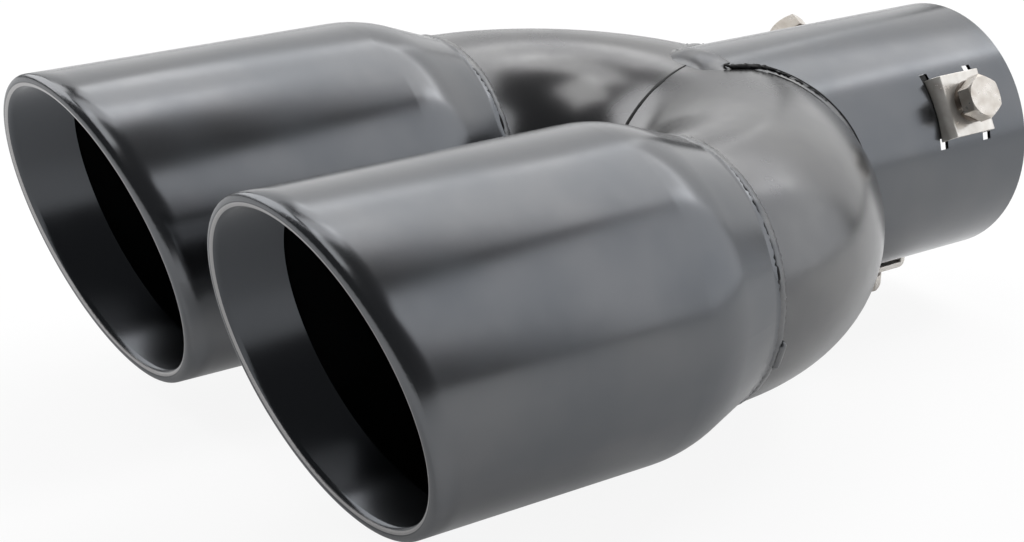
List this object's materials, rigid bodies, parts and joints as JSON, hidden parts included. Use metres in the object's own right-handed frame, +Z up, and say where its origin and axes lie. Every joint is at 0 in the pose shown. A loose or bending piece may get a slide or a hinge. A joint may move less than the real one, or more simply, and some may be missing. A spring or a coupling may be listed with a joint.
{
  "type": "exhaust tip",
  "caption": "Twin-outlet exhaust tip: slash-cut barrels with rolled lips, paired bends and an inlet sleeve that grips a tailpipe with radial clamp bolts.",
  "frame": {"origin": "centre of the inlet sleeve's open mouth, on its axis", "axes": "+Y along the inlet axis, out of the mouth towards the tailpipe; +Z up, with the leading edges of the slash cuts at the top; +X to the right when seen from the outlets"},
  "size_m": [0.17, 0.2371, 0.08],
  "materials": {
    "black_coated_steel": "satin blue-black coating over stainless sheet",
    "coated_weld": "coated weld bead, rough",
    "zinc_plated_steel": "bright zinc plate",
    "spring_steel": "zinc plated spring steel"
  },
  "bodies": {
    "pipework": {"tip_shell_right": "black_coated_steel", "tip_shell_left": "black_coated_steel", "elbow_right": "black_coated_steel", "elbow_left": "black_coated_steel", "inlet_tube": "black_coated_steel", "neck_weld_right": "coated_weld", "neck_weld_left": "coated_weld", "centre_weld": "coated_weld", "inlet_weld": "coated_weld", "clamp_plate_right": "zinc_plated_steel", "clamp_plate_lower": "zinc_plated_steel", "clamp_plate_left": "zinc_plated_steel"},
    "right_bolt": {"clamp_bolt_right": "zinc_plated_steel", "lock_washer_right": "spring_steel"},
    "lower_bolt": {"clamp_bolt_lower": "zinc_plated_steel", "lock_washer_lower": "spring_steel"},
    "left_bolt": {"clamp_bolt_left": "zinc_plated_steel", "lock_washer_left": "spring_steel"}
  },
  "joints": [
    {"name": "right_bolt_screw", "type": "slide", "parent": "pipework", "child": "right_bolt", "axis": [0.866, 0, 0.5], "range_m": [-0.0009, 0.0025]},
    {"name": "lower_bolt_screw", "type": "slide", "parent": "pipework", "child": "lower_bolt", "axis": [0, 0, -1], "range_m": [-0.0009, 0.0025]},
    {"name": "left_bolt_screw", "type": "slide", "parent": "pipework", "child": "left_bolt", "axis": [-0.866, 0, 0.5], "range_m": [-0.0009, 0.0025]}
  ]
}
